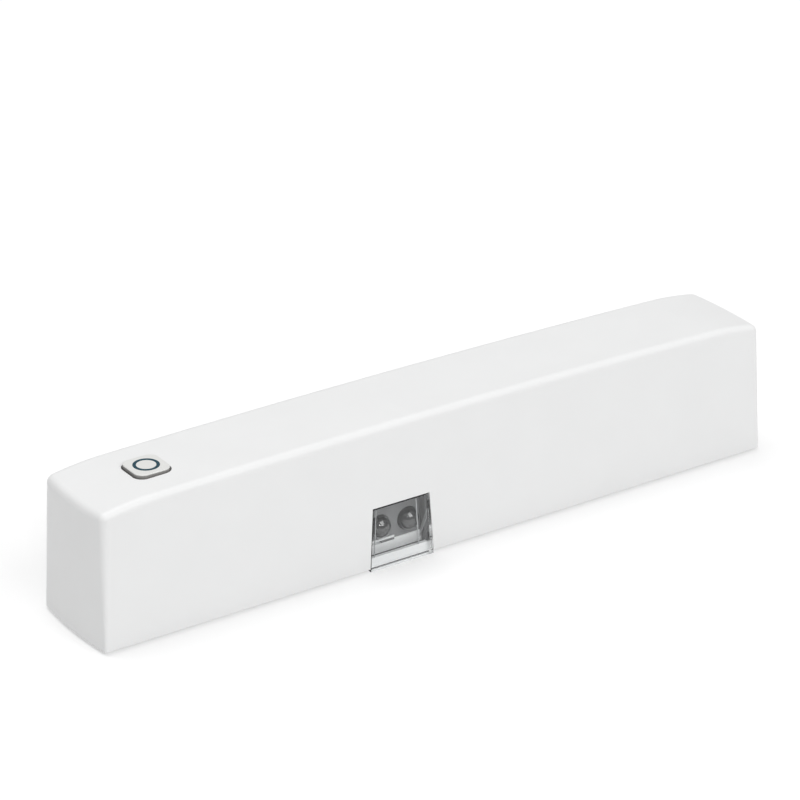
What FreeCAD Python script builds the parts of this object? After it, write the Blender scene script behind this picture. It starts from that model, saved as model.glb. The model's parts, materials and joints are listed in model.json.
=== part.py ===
"""Optical door and window contact: a slip-on cap over a battery-powered unit.

Frame: X runs along the case, -Y is the front with the sensor window, +Z leads away from the mounting face.
The origin is the centre of the mounting face. All sizes are in millimetres.
"""
import FreeCAD, Part
import math
import os
import re
import Sketcher

V = FreeCAD.Vector
ALONG_Y = FreeCAD.Rotation(V(1, 0, 0), -90)
ALONG_X = FreeCAD.Rotation(V(0, 1, 0), 90)

DIMENSIONS = {
    # case form
    "case_length": 100, "case_width": 15, "case_height": 19,
    "end_bulge": 0.56, "draft_angle": 2.1, "back_corner": 1.15, "front_corner_foot": 0.35,
    "front_corner_top": 1.05, "inner_corner": 0.3, "rim_radius": 1.0,
    "crown_radius": 1923, "crown_bend_x": 41, "crown_end_radius": 45,
    "wall": 1.0, "ceiling": 1.3, "rim_height": 0.4,
    # ribs under the ceiling
    "rib_left": -30, "rib_middle": 12, "rib_right": 34, "rib_width": 0.8, "rib_gap": 1.3,
    "rib_bottom": 16.2, "rib_root": 18,
    # opening for the button
    "button_x": -39, "opening_length": 5.1, "opening_width": 5.15, "opening_radius": 1.4,
    # sensor window, measured on the front face
    "window_x": -7.5, "window_top": 8.3, "window_half_top": 4.1, "window_half_foot": 4.65,
    "notch_gap": 0.1, "pane_back": 6.4, "pane_tongue": 2.0, "pane_lip": 0.4, "tongue_inset": 0.3,
    # base
    "base_length": 96, "base_width": 12.2, "base_inset": 1.4, "floor": 1.2, "base_wall": 0.6,
    "base_wall_top": 4.6, "end_wall_top": 10.4, "end_wall_gap": 1.2, "window_bay": 5.2,
    "screw_hole_radius": 1.2, "screw_sink_radius": 1.9, "screw_sink_depth": 0.5,
    "screw_left_x": -45.3, "screw_right_x": 26.7,
    "board_rib_left": -42.9, "board_rib_middle": -32.6, "board_rib_right": -14.4,
    "board_rib_width": 0.8, "board_rib_reach": 5.8,
    "divider_left": -1.3, "divider_right": -0.1, "divider_front": -5, "divider_back": 1.8,
    "clip_inner": 5.5, "clip_outer": 5.85, "clip_length": 2.6, "clip_back_x": -42.9, "clip_front_x": -33.6,
    "cradle_left": 7, "cradle_middle": 20, "cradle_right": 36, "cradle_width": 1.2,
    "trough_left": 0.5, "trough_length": 44.4, "trough_gap": 0.15,
    "channel_left": -0.7, "channel_near": 3.0, "channel_far": 5.1, "channel_depth": 0.35,
    # sill and groove under the sensor
    "lip_top": 1.4, "lip_front": 6.35, "lip_thickness": 0.6, "lip_half": 4.2,
    "groove_bottom": 0.4, "groove_half": 4.85, "sill_front": 4.85, "sill_back": 3.2, "sill_half": 4.75,
    "sill_top": 2.35, "ledge_top": 2.7, "ledge_right": -7.15, "slit_bottom": 2.1, "slit_top": 2.45,
    "slit_depth": 0.6,
    # main board
    "board_left": -43.1, "board_right": -1.0, "board_width": 10.8, "board_bottom": 9.6, "board_top": 10.6,
    "board_corner": 0.6, "post_radius": 2.2, "post_hole_radius": 1.0, "post_hole_bottom": 3,
    "screw_x": -22.8, "screw_y": -3.3, "screw_pass_radius": 1.1, "lead_hole_radius": 0.42,
    "peg_hole_radius": 0.5,
    # sensor
    "emitter_x": -9.35, "receiver_x": -5.15, "lamp_z": 4.5, "lamp_radius": 1.5, "lamp_flange_radius": 1.85,
    "lamp_flange": 1.0, "lamp_back": -0.9, "lamp_tip": -6.2, "seat_gap": 0.05,
    "lead_pitch": 2.54, "lead_side": 0.5, "lead_y": 2.2, "lead_rise": 0.7,
    "holder_left": -12.3, "holder_right": -2.7, "holder_front": 5.95, "holder_back": 0.9, "holder_top": 9.4,
    "cavity_back": 4.8, "cavity_top": 7.85, "cavity_half_top": 4.0, "cavity_half_foot": 4.4,
    "frame_front": 5.7, "frame_back": 4.95, "frame_bottom": 0.45, "frame_sill": 0.85,
    "peg_inset": 0.55, "peg_y": 0.2, "peg_radius": 0.45, "peg_rise": 0.6,
    # parts on the board
    "package_x": -29.5, "lead_width": 0.32, "lead_spacing": 0.8, "row_y": 4.98,
    "radio_x": -16.5, "radio_board": 0.8, "can_x": -16.9, "can_y": -0.6, "can_wall": 0.2, "can_top": 2.8,
    "inductor_x": -9.4, "inductor_y": -2.9, "power_x": -4.4, "converter_y": -0.9, "tank_y": -3.6,
    "crystal_y": 0.4, "led_y": 4.3,
    "screw_shank_radius": 0.95, "screw_tip": 4.6, "screw_head_radius": 1.9, "screw_head": 1.3,
    "screw_cross": 0.45, "screw_cross_depth": 0.65,
    # push button and its switch
    "tile_length": 4.7, "tile_width": 4.75, "tile_top": 19.05, "tile_radius": 1.2, "tile_edge": 0.12,
    "flange_side": 6.2, "flange_bottom": 16.45, "flange_top": 17, "stem_radius": 1.5, "stem_top": 16.6,
    "barb_radius": 1.85, "barb_top": 15.2,
    "bridge_reach": 3.8, "bridge_leg": 0.6, "bridge_half": 2.6, "bridge_top": 15.95, "bridge_plate": 0.55,
    "bridge_hole_radius": 1.7,
    "switch_side": 6.0, "switch_top": 13.7, "switch_plate": 0.3, "well_radius": 1.9, "well_bottom": 12.3,
    "plunger_radius": 1.7, "plunger_bottom": 12.8, "plunger_top": 14.9,
    # tamper switch
    "tamper_y": 3.8, "tamper_top": 12.4, "tamper_well_radius": 0.75, "tamper_well_bottom": 11.1,
    "tamper_rod_radius": 0.65, "tamper_rod_bottom": 11.3, "tamper_rod_top": 13.3,
    "tamper_post_radius": 0.9, "tamper_post_bottom": 13.4,
    # battery, size LR03
    "cell_radius": 5.25, "cell_left": 1.2, "cell_right": 44.8, "cell_z": 6.95, "cell_edge": 0.6,
    "nub_radius": 1.9, "nub_edge": 0.25,
    "contact_thickness": 0.3, "blade_reach": 3, "blade_bottom": 2.4, "tab_left": -2.3, "tab_reach": 1.5,
    "plate_reach": 3.8, "gusset_top": 3, "strip_near": 3.2, "strip_far": 4.9, "riser_left": -0.6,
    # antenna
    "antenna_radius": 1.9, "antenna_wire": 0.3, "antenna_pitch": 1.2, "antenna_length": 9.6,
    "antenna_left": -13.2, "antenna_y": 1.6, "antenna_z": 14.4,
}

doc = FreeCAD.newDocument("door_contact")
sheet = doc.addObject("Spreadsheet::Sheet", "dims")
for row, (alias, size) in enumerate(DIMENSIONS.items(), start=1):
    sheet.set(f"A{row}", alias)
    sheet.set(f"B{row}", str(size))
    sheet.setAlias(f"B{row}", alias)
doc.recompute()

WORDS = re.compile(r"\b(" + "|".join(DIMENSIONS) + r")\b")


def cells(formula):
    """The formula with each dimension's name turned into a reference to its cell."""
    return WORDS.sub(r"dims.\1", str(formula))


def number(formula):
    """The formula's value now."""
    return float(sheet.evalExpression(cells(formula)))


def bind(item, prop, formula):
    item.setExpression(prop, cells(formula))


def place(item, at, rotation=None):
    """Puts an object at three formulas."""
    if rotation is not None:
        item.Placement = FreeCAD.Placement(V(0, 0, 0), rotation)
    for axis, formula in zip("xyz", at):
        bind(item, f"Placement.Base.{axis}", formula)
    return item


# ---- solids from primitives ----

def box(label, x, y, z):
    """A block between pairs of formulas along each axis."""
    item = doc.addObject("Part::Box", label)
    for prop, (low, high) in zip(("Length", "Width", "Height"), (x, y, z)):
        bind(item, prop, f"({high}) - ({low})")
    return place(item, (x[0], y[0], z[0]))


def centred_box(label, centre, size, z):
    """A block around a centre in plan, between two heights."""
    spans = [(f"({c}) - ({s}) / 2", f"({c}) + ({s}) / 2") for c, s in zip(centre, size)]
    return box(label, spans[0], spans[1], z)


def cylinder(label, at, radius, length, rotation=None):
    item = doc.addObject("Part::Cylinder", label)
    bind(item, "Radius", radius)
    bind(item, "Height", length)
    return place(item, at, rotation)


def sphere(label, at, radius):
    item = doc.addObject("Part::Sphere", label)
    bind(item, "Radius", radius)
    return place(item, at)


def cut(label, base, tool):
    item = doc.addObject("Part::Cut", label)
    item.Base = base
    item.Tool = tool
    return item


def fuse(label, *items):
    item = doc.addObject("Part::MultiFuse", label)
    item.Shapes = list(items)
    return item


def common(label, first, second):
    item = doc.addObject("Part::Common", label)
    item.Base = first
    item.Tool = second
    return item


def group(label, items):
    """Separate solids that share one node."""
    item = doc.addObject("Part::Compound", label)
    item.Links = list(items)
    return item


def rounded(label, base, radius, wanted, far_radius=None):
    """The base with the edges that the test picks rounded. far_radius is the radius at their far ends."""
    doc.recompute()
    edges = [i for i, edge in enumerate(base.Shape.Edges, start=1) if wanted(edge.BoundBox)]
    item = doc.addObject("Part::Fillet", label)
    item.Base = base
    item.Edges = [(i, number(radius), number(far_radius or radius)) for i in edges]
    return item


# ---- PartDesign bodies ----

def new_body(label):
    body = doc.addObject("PartDesign::Body", label)
    body.Label = label
    return body


def sketch_on(body, label, plane, offset="0"):
    """A sketch on one of the body's origin planes, moved along the plane's normal by a formula."""
    sketch = body.newObject("Sketcher::SketchObject", label)
    support = next(f for f in body.Origin.OriginFeatures if f.Role == plane)
    sketch.AttachmentSupport = [(support, "")]
    sketch.MapMode = "FlatFace"
    bind(sketch, "AttachmentOffset.Base.z", offset)
    return sketch


def fix(sketch, kind, *where, to):
    """A dimension of the sketch, bound to a formula."""
    index = sketch.addConstraint(Sketcher.Constraint(kind, *where, number(to)))
    bind(sketch, f"Constraints[{index}]", to)


def pin_point(sketch, geometry, end, x, y):
    fix(sketch, "DistanceX", -1, 1, geometry, end, to=x)
    fix(sketch, "DistanceY", -1, 1, geometry, end, to=y)


def polygon(sketch, points):
    """A closed outline through points that are pairs of formulas."""
    first = sketch.GeometryCount
    corners = [V(number(x), number(y), 0) for x, y in points]
    for start, end in zip(corners, corners[1:] + corners[:1]):
        sketch.addGeometry(Part.LineSegment(start, end), False)
    count = len(points)
    for i in range(count):
        sketch.addConstraint(Sketcher.Constraint("Coincident", first + i, 2, first + (i + 1) % count, 1))
    for i, (x, y) in enumerate(points):
        pin_point(sketch, first + i, 1, x, y)


def rectangle(sketch, x, y):
    polygon(sketch, [(x[0], y[0]), (x[1], y[0]), (x[1], y[1]), (x[0], y[1])])


def circle(sketch, x, y, radius):
    centre = V(number(x), number(y), 0)
    index = sketch.addGeometry(Part.Circle(centre, V(0, 0, 1), number(radius)), False)
    fix(sketch, "Radius", index, to=radius)
    pin_point(sketch, index, 3, x, y)


def feature(body, kind, label, sketch, length, **settings):
    """A Pad or Pocket of the sketch."""
    item = body.newObject(f"PartDesign::{kind}", label)
    item.Profile = sketch
    bind(item, "Length", length)
    for name, setting in settings.items():
        setattr(item, name, setting)
    body.Tip = item
    return item


def add_blocks(body, label, blocks, bottom, top):
    """Pads rectangles, given as pairs of x and y formulas, between two heights."""
    sketch = sketch_on(body, f"{label}_outline", "XY_Plane", bottom)
    for x, y in blocks:
        rectangle(sketch, x, y)
    return feature(body, "Pad", label, sketch, f"({top}) - ({bottom})")


def cut_blocks(body, label, blocks, bottom, top):
    """Pockets rectangles from the upper height down to the lower one."""
    sketch = sketch_on(body, f"{label}_outline", "XY_Plane", top)
    for x, y in blocks:
        rectangle(sketch, x, y)
    return feature(body, "Pocket", label, sketch, f"({top}) - ({bottom})")


def add_discs(body, label, discs, bottom, top):
    sketch = sketch_on(body, f"{label}_outline", "XY_Plane", bottom)
    for x, y, radius in discs:
        circle(sketch, x, y, radius)
    return feature(body, "Pad", label, sketch, f"({top}) - ({bottom})")


def cut_discs(body, label, discs, bottom, top):
    sketch = sketch_on(body, f"{label}_outline", "XY_Plane", top)
    for x, y, radius in discs:
        circle(sketch, x, y, radius)
    return feature(body, "Pocket", label, sketch, f"({top}) - ({bottom})")


def round_edges(body, label, radius, wanted):
    doc.recompute()
    base = body.Tip
    names = [f"Edge{i}" for i, edge in enumerate(base.Shape.Edges, start=1) if wanted(edge.BoundBox)]
    item = body.newObject("PartDesign::Fillet", label)
    item.Base = (base, names)
    bind(item, "Radius", radius)
    body.Tip = item
    return item


def upright(box_of_edge):
    """True for an edge that runs mostly along Z."""
    return box_of_edge.ZLength > 4 * max(box_of_edge.XLength, box_of_edge.YLength, 0.01)


# ---- case form ----

def plan_outline(sketch, inset):
    """Two straight sides joined by two bowed ends."""
    half_width = f"(case_width / 2 - {inset})"
    half_length = f"(case_length / 2 - {inset})"
    side_end = f"({half_length} - end_bulge)"
    bow = f"(({half_width}^2 + end_bulge^2) / (2 * end_bulge))"
    x, y, tip, radius = (number(f) for f in (side_end, half_width, half_length, bow))
    swing = math.asin(y / radius)
    geometry = [
        Part.LineSegment(V(-x, -y, 0), V(x, -y, 0)),
        Part.ArcOfCircle(Part.Circle(V(tip - radius, 0, 0), V(0, 0, 1), radius), -swing, swing),
        Part.LineSegment(V(x, y, 0), V(-x, y, 0)),
        Part.ArcOfCircle(Part.Circle(V(radius - tip, 0, 0), V(0, 0, 1), radius),
                         math.pi - swing, math.pi + swing),
    ]
    for item in geometry:
        sketch.addGeometry(item, False)
    for i in range(4):
        sketch.addConstraint(Sketcher.Constraint("Coincident", i, 2, (i + 1) % 4, 1))
    pin_point(sketch, 0, 1, f"-{side_end}", f"-{half_width}")
    pin_point(sketch, 2, 1, side_end, half_width)
    fix(sketch, "DistanceX", -1, 1, 0, 2, to=side_end)
    fix(sketch, "DistanceY", -1, 1, 0, 2, to=f"-{half_width}")
    fix(sketch, "DistanceX", -1, 1, 2, 2, to=f"-{side_end}")
    fix(sketch, "DistanceY", -1, 1, 2, 2, to=half_width)
    fix(sketch, "Radius", 1, to=bow)
    fix(sketch, "Radius", 3, to=bow)


def crown_profile(sketch, drop):
    """Everything above the crowned top: a long flat arc that turns down near both ends."""
    top = number(f"case_height - {drop}")
    crown = number("crown_radius")
    end = number(f"crown_end_radius - {drop}")
    bend_x = number("crown_bend_x")
    reach = number("case_length / 2 + 2")
    lean = math.asin(bend_x / crown)
    centre_z = top - crown
    bend_z = centre_z + crown * math.cos(lean)
    end_x = bend_x - end * math.sin(lean)
    end_z = bend_z - end * math.cos(lean)
    outer = math.asin((reach - end_x) / end)
    up = math.pi / 2
    low_z = end_z + end * math.cos(outer)
    roof = top + 2
    arcs = [
        Part.ArcOfCircle(Part.Circle(V(-end_x, end_z, 0), V(0, 0, 1), end), up + lean, up + outer),
        Part.ArcOfCircle(Part.Circle(V(0, centre_z, 0), V(0, 0, 1), crown), up - lean, up + lean),
        Part.ArcOfCircle(Part.Circle(V(end_x, end_z, 0), V(0, 0, 1), end), up - outer, up - lean),
    ]
    for arc in arcs:
        sketch.addGeometry(arc, False)
    corners = [V(reach, low_z, 0), V(reach, roof, 0), V(-reach, roof, 0), V(-reach, low_z, 0)]
    for start, stop in zip(corners, corners[1:]):
        sketch.addGeometry(Part.LineSegment(start, stop), False)
    joins = [("Tangent", 0, 1, 1, 2), ("Tangent", 1, 1, 2, 2), ("Coincident", 2, 1, 3, 1),
             ("Coincident", 3, 2, 4, 1), ("Coincident", 4, 2, 5, 1), ("Coincident", 5, 2, 0, 2),
             ("Vertical", 3), ("Horizontal", 4), ("Vertical", 5)]
    for join in joins:
        sketch.addConstraint(Sketcher.Constraint(*join))
    fix(sketch, "Radius", 0, to=f"crown_end_radius - {drop}")
    fix(sketch, "Radius", 1, to="crown_radius")
    fix(sketch, "Radius", 2, to=f"crown_end_radius - {drop}")
    fix(sketch, "DistanceX", -1, 1, 1, 2, to="-crown_bend_x")
    fix(sketch, "DistanceX", -1, 1, 1, 1, to="crown_bend_x")
    fix(sketch, "DistanceY", -1, 1, 1, 3, to=f"case_height - {drop} - crown_radius")
    pin_point(sketch, 4, 2, "-case_length / 2 - 2", f"case_height - {drop} + 2")
    fix(sketch, "DistanceX", -1, 1, 4, 1, to="case_length / 2 + 2")


def case_form(label, inset, drop, back_corner, front_foot, front_top):
    """The case as a solid: drafted sides, bowed ends, a crowned top and rounded upright edges.

    The front corners are sharper at the foot than at the top.
    """
    body = new_body(label)
    outline = sketch_on(body, f"{label}_plan", "XY_Plane")
    plan_outline(outline, inset)
    feature(body, "Pad", f"{label}_block", outline, "case_height", TaperAngle=-number("draft_angle"))
    round_edges(body, f"{label}_corners", back_corner, lambda b: upright(b) and b.YMin > 0)
    crown = sketch_on(body, f"{label}_crown", "XZ_Plane")
    crown_profile(crown, drop)
    feature(body, "Pocket", f"{label}_top", crown, "case_width * 2", SideType="Symmetric")
    return rounded(f"{label}_front", body, front_foot, lambda b: upright(b) and b.YMax < 0, front_top)


def rounded_rim(label, form):
    """The form with the edges round its crowned top rounded."""
    top_edge = number("case_height - 2.5")
    across = number("crown_bend_x")
    return rounded(label, form, "rim_radius", lambda b: b.ZMin > top_edge and not (
        b.YLength > 8 and abs(abs(b.XMin) - across) < 0.5))


def cap():
    """Outer cover, open below, with the button's opening, the window's notch and inner ribs."""
    form = case_form("cap_form", "0", "0", "back_corner", "front_corner_foot", "front_corner_top")
    outer = rounded_rim("cap_outer", form)
    inner = case_form("cap_inner", "wall", "ceiling", *["inner_corner"] * 3)
    foot = box("cap_foot", ("-case_length", "case_length"), ("-case_width", "case_width"),
               ("-1", "rim_height"))
    shell = cut("cap_shell", outer, fuse("cap_hollow", inner, foot))
    ribs = [centred_box(f"cap_{x}", (x, "0"), ("rib_width", "case_width - 2 * rib_gap"),
                        ("rib_bottom", "rib_root"))
            for x in ("rib_left", "rib_middle", "rib_right")]
    post = cylinder("cap_tamper_post", ("screw_x", "tamper_y", "tamper_post_bottom"), "tamper_post_radius",
                    "rib_root - tamper_post_bottom")
    whole = common("cap_inside", fuse("cap_fittings", post, *ribs), outer)
    ribbed = fuse("cap_ribbed", shell, whole)
    opening = rounded_block("cap_opening", ("button_x", "0"), ("opening_length", "opening_width"),
                            ("rib_bottom", "case_height + 1"), "opening_radius")
    notch = window_prism("cap_notch", "notch_gap", "-0.5", "-case_width * 0.6", "-case_width / 3")
    return cut("cap", ribbed, fuse("cap_cuts", opening, notch))


def rounded_block(label, centre, size, z, radius):
    """A block whose four upright edges are rounded."""
    body = new_body(label)
    add_blocks(body, f"{label}_pad", [[(f"({c}) - ({s}) / 2", f"({c}) + ({s}) / 2")
                                       for c, s in zip(centre, size)]], z[0], z[1])
    round_edges(body, f"{label}_corners", radius, upright)
    return body


# ---- sensor window ----

def window_prism(label, gap, foot_z, front, back):
    """The window's trapezoid, wider at its foot, run through the front wall. gap widens it all round."""
    body = new_body(label)
    slope = "(window_half_foot - window_half_top) / window_top"
    top_half = f"(window_half_top + {gap})"
    foot_half = f"(window_half_foot + {gap} - ({foot_z}) * {slope})"
    sketch = sketch_on(body, f"{label}_outline", "XZ_Plane", f"-({back})")
    polygon(sketch, [(f"window_x - {foot_half}", foot_z), (f"window_x + {foot_half}", foot_z),
                     (f"window_x + {top_half}", f"window_top + {gap}"),
                     (f"window_x - {top_half}", f"window_top + {gap}")])
    feature(body, "Pad", f"{label}_run", sketch, f"({back}) - ({front})")
    return body


def sensor_window():
    """Clear pane flush with the drafted front face, with a tongue at its top that slides into the holder."""
    block = window_prism("window_block", "0", "0", "-case_width * 0.6", "-pane_back")
    face = case_form("window_face", "0", "0", "back_corner", "front_corner_foot", "front_corner_top")
    pane = common("window_pane", block, face)
    tongue = centred_box("window_tongue", ("window_x", "-pane_back + pane_tongue / 2"),
                         ("2 * (window_half_top - tongue_inset)", "pane_tongue"),
                         ("window_top - pane_lip", "window_top"))
    return fuse("sensor_window", pane, tongue)


# ---- base ----

def base_housing():
    """Tray that is fixed to the frame and carries the board, the sensor and the battery."""
    body = new_body("base_housing")
    outline = sketch_on(body, "base_floor_outline", "XY_Plane")
    plan_outline(outline, "base_inset")
    feature(body, "Pad", "base_floor", outline, "floor")
    base_walls(body)
    board_supports(body)
    sensor_sill(body)
    cell_bed(body)
    for label, radius, bottom in (("fixing_holes", "screw_hole_radius", "0"),
                                  ("fixing_sinks", "screw_sink_radius", "floor - screw_sink_depth")):
        cut_discs(body, label, [(x, "0", radius) for x in ("screw_left_x", "screw_right_x")], bottom, "floor")
    return body


def base_walls(body):
    """Low walls along the sides, open at the window, and tall walls across the ends."""
    half_x, half_y = "base_length / 2", "base_width / 2"
    front = (f"-{half_y}", f"-{half_y} + base_wall")
    add_blocks(body, "base_side_walls", [
        ((f"-{half_x}", half_x), (f"{half_y} - base_wall", half_y)),
        ((f"-{half_x}", "window_x - window_bay"), front),
        (("window_x + window_bay", half_x), front),
    ], "floor", "base_wall_top")
    across = (f"-{half_y} + end_wall_gap", f"{half_y} - end_wall_gap")
    add_blocks(body, "base_end_walls", [
        ((f"-{half_x}", f"-{half_x} + base_wall"), across),
        ((f"{half_x} - base_wall", half_x), across),
    ], "floor", "end_wall_top")


def board_supports(body):
    """Ribs, clips and the screw post that hold the main board."""
    ribs = [((x, f"{x} + board_rib_width"), ("-board_rib_reach", "board_rib_reach"))
            for x in ("board_rib_left", "board_rib_middle", "board_rib_right")]
    divider = (("divider_left", "divider_right"), ("divider_front", "divider_back"))
    add_blocks(body, "board_ribs", ribs + [divider], "floor", "board_bottom")
    add_blocks(body, "board_clips", [
        (("clip_back_x", "clip_back_x + clip_length"), ("clip_inner", "clip_outer")),
        (("clip_front_x", "clip_front_x + clip_length"), ("-clip_outer", "-clip_inner")),
    ], "base_wall_top", "board_top")
    add_discs(body, "screw_post", [("screw_x", "screw_y", "post_radius")], "floor", "board_bottom")
    cut_discs(body, "post_pilot", [("screw_x", "screw_y", "post_hole_radius")],
              "post_hole_bottom", "board_bottom")


def sensor_sill(body):
    """Lip behind the pane, a groove for the holder's frame, and a sill with a slit ledge under the lamps."""
    add_blocks(body, "sensor_lip", [(("window_x - lip_half", "window_x + lip_half"),
                                     ("-lip_front", "-lip_front + lip_thickness"))], "0", "lip_top")
    left, across = "window_x - sill_half", ("-sill_front", "-sill_back")
    add_blocks(body, "sill_wall", [((left, "window_x + sill_half"), across)], "floor", "sill_top")
    add_blocks(body, "sill_ledge", [((left, "ledge_right"), across)], "floor", "ledge_top")
    cut_blocks(body, "frame_groove", [(("window_x - groove_half", "window_x + groove_half"),
                                       ("-lip_front + lip_thickness", "-sill_front"))],
               "groove_bottom", "floor")
    slit = front_sketch(body, "ledge_slit_outline", "-sill_front")
    rectangle(slit, (left, "ledge_right"), ("slit_bottom", "slit_top"))
    feature(body, "Pocket", "ledge_slit", slit, "slit_depth")


def cell_bed(body):
    """Cradles with a round trough for the cell, and a channel for the long contact strip."""
    half_y = "base_width / 2"
    add_blocks(body, "cell_cradles", [((x, f"{x} + cradle_width"), (f"-{half_y}", half_y))
                                      for x in ("cradle_left", "cradle_middle", "cradle_right")],
               "floor", "base_wall_top")
    trough = sketch_on(body, "cell_trough_outline", "YZ_Plane", "trough_left")
    circle(trough, "0", "cell_z", "cell_radius + trough_gap")
    feature(body, "Pocket", "cell_trough", trough, "trough_length", Reversed=True)
    cut_blocks(body, "strip_channel", [(("channel_left", "base_length / 2 - base_wall"),
                                        ("channel_near", "channel_far"))],
               "floor - channel_depth", "base_wall_top + 1")


# ---- sensor ----

PEG_X = ("holder_left + peg_inset", "holder_right - peg_inset")


def front_sketch(body, label, y):
    """A sketch across the case at a given y, seen from the front."""
    return sketch_on(body, label, "XZ_Plane", f"-({y})")


def sensor_holder():
    """Dark baffle: a cavity behind the pane, a seat for each lamp and a frame that stands in the base."""
    body = new_body("sensor_holder")
    sides = ("holder_left", "holder_right")
    add_blocks(body, "holder_block", [(sides, ("-holder_front", "holder_back"))],
               "sill_top + seat_gap", "holder_top")
    add_blocks(body, "holder_frame", [(sides, ("-frame_front", "-frame_back"))], "frame_bottom", "lamp_z")
    cavity = front_sketch(body, "holder_cavity_outline", "-cavity_back")
    corners = (("- cavity_half_foot", "frame_sill"), ("+ cavity_half_foot", "frame_sill"),
               ("+ cavity_half_top", "cavity_top"), ("- cavity_half_top", "cavity_top"))
    polygon(cavity, [(f"window_x {half}", height) for half, height in corners])
    feature(body, "Pocket", "holder_cavity", cavity, "case_width / 2", Reversed=True)
    tongue_half = "(window_half_top - tongue_inset + 2 * seat_gap)"
    slot = front_sketch(body, "holder_slot_outline", "-pane_back + pane_tongue + 2 * seat_gap")
    rectangle(slot, (f"window_x - {tongue_half}", f"window_x + {tongue_half}"),
              ("window_top - pane_lip - seat_gap", "window_top + seat_gap"))
    feature(body, "Pocket", "holder_slot", slot, "case_width / 2", Reversed=True)
    lamp_bores(body, "holder_seats", "-holder_front", "lamp_radius")
    lamp_bores(body, "holder_rebates", "lamp_back - lamp_flange - seat_gap", "lamp_flange_radius")
    cut_blocks(body, "ledge_notch", [(("holder_left", "ledge_right + seat_gap"),
                                      ("-sill_front", "-sill_back + seat_gap"))],
               "sill_top", "ledge_top + seat_gap")
    add_discs(body, "holder_pegs", [(x, "peg_y", "peg_radius") for x in PEG_X],
              "holder_top", "board_bottom + peg_rise")
    return body


def lamp_bores(body, label, front, radius):
    """Round pockets for both lamps, from a given depth out through the back of the holder."""
    sketch = front_sketch(body, f"{label}_outline", front)
    for x in ("emitter_x", "receiver_x"):
        circle(sketch, x, "lamp_z", f"{radius} + seat_gap")
    feature(body, "Pocket", label, sketch, "case_width / 2")


def lamp(label, x):
    """A 3 mm lamp that looks along -Y: flange, barrel and dome."""
    nose = "lamp_tip + lamp_radius"
    barrel = cylinder(f"{label}_barrel", (x, nose, "lamp_z"), "lamp_radius", f"lamp_back - ({nose})", ALONG_Y)
    dome = sphere(f"{label}_dome", (x, nose, "lamp_z"), "lamp_radius")
    flange = cylinder(f"{label}_flange", (x, "lamp_back - lamp_flange", "lamp_z"), "lamp_flange_radius",
                      "lamp_flange", ALONG_Y)
    return fuse(label, barrel, dome, flange)


def sensor_leads():
    """Two square leads from each lamp, bent up through the board."""
    leads = []
    for i, (lamp_x, side) in enumerate((x, s) for x in ("emitter_x", "receiver_x") for s in (-1, 1)):
        body = new_body(f"sensor_lead_{i}")
        start = f"{lamp_x} + {side} * lead_pitch / 2 - lead_side / 2"
        sketch = sketch_on(body, f"sensor_lead_{i}_outline", "YZ_Plane", start)
        low, high, tip = "lamp_z - lead_side / 2", "lamp_z + lead_side / 2", "board_top + lead_rise"
        near, far = "lead_y - lead_side / 2", "lead_y + lead_side / 2"
        polygon(sketch, [("lamp_back", low), (far, low), (far, tip),
                         (near, tip), (near, high), ("lamp_back", high)])
        feature(body, "Pad", f"sensor_lead_{i}_pad", sketch, "lead_side")
        leads.append(body)
    return group("sensor_leads", leads)


# ---- main board and what it carries ----

def main_board():
    body = new_body("main_board")
    half = "board_width / 2"
    add_blocks(body, "board_plate", [(("board_left", "board_right"), (f"-{half}", half))],
               "board_bottom", "board_top")
    round_edges(body, "board_corners", "board_corner", upright)
    holes = [("screw_x", "screw_y", "screw_pass_radius")] + [(x, "peg_y", "peg_hole_radius") for x in PEG_X]
    for lamp_x in ("emitter_x", "receiver_x"):
        for side in (-1, 1):
            holes.append((f"{lamp_x} + {side} * lead_pitch / 2", "lead_y", "lead_hole_radius"))
    cut_discs(body, "board_holes", holes, "board_bottom", "board_top")
    return body


def chip(label, centre, size, height, lift="0", radius=None):
    """A block on the board, with its upper edges rounded on request."""
    bottom = f"board_top + {lift}"
    span = (bottom, f"board_top + {height}")
    block = centred_box(f"{label}_block" if radius else label, centre, size, span)
    if radius is None:
        return block
    low = number(bottom) + 0.1
    return rounded(label, block, radius, lambda b: b.ZMax > low)


def repeat(label, source, placements):
    """Copies of one solid at several placements, sharing a node."""
    doc.recompute()
    copies = [source.Shape.copy() for _ in placements]
    for copy, placement in zip(copies, placements):
        copy.Placement = placement.multiply(copy.Placement)
    item = doc.addObject("Part::Feature", label)
    item.Shape = Part.makeCompound(copies)
    return item


def microcontroller():
    return chip("microcontroller", ("package_x", "0"), ("7", "7"), "1.3", "0.1", "0.12")


def microcontroller_leads():
    """Gull-wing leads, eight on each side of the package."""
    body = new_body("package_lead")
    sketch = sketch_on(body, "package_lead_outline", "XZ_Plane", "-lead_width / 2")
    inner, bend, heel, toe = "3.5", "3.86", "3.98", "4.6"
    foot, shoulder, sheet_up = "board_top", "board_top + 0.62", "+ 0.14"
    polygon(sketch, [(inner, shoulder), (bend, shoulder), (heel, foot), (toe, foot),
                     (toe, f"{foot} {sheet_up}"), (f"{heel} + 0.12", f"{foot} {sheet_up}"),
                     (heel, f"{shoulder} {sheet_up}"), (inner, f"{shoulder} {sheet_up}")])
    feature(body, "Pad", "package_lead_pad", sketch, "lead_width")
    centre, spacing, per_side = V(number("package_x"), 0, 0), number("lead_spacing"), 8
    placements = []
    for side in range(4):
        turn = FreeCAD.Rotation(V(0, 0, 1), 90 * side)
        for i in range(per_side):
            along = turn.multVec(V(0, (i - (per_side - 1) / 2) * spacing, 0))
            placements.append(FreeCAD.Placement(centre + along, turn))
    return repeat("microcontroller_leads", body, placements)


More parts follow.
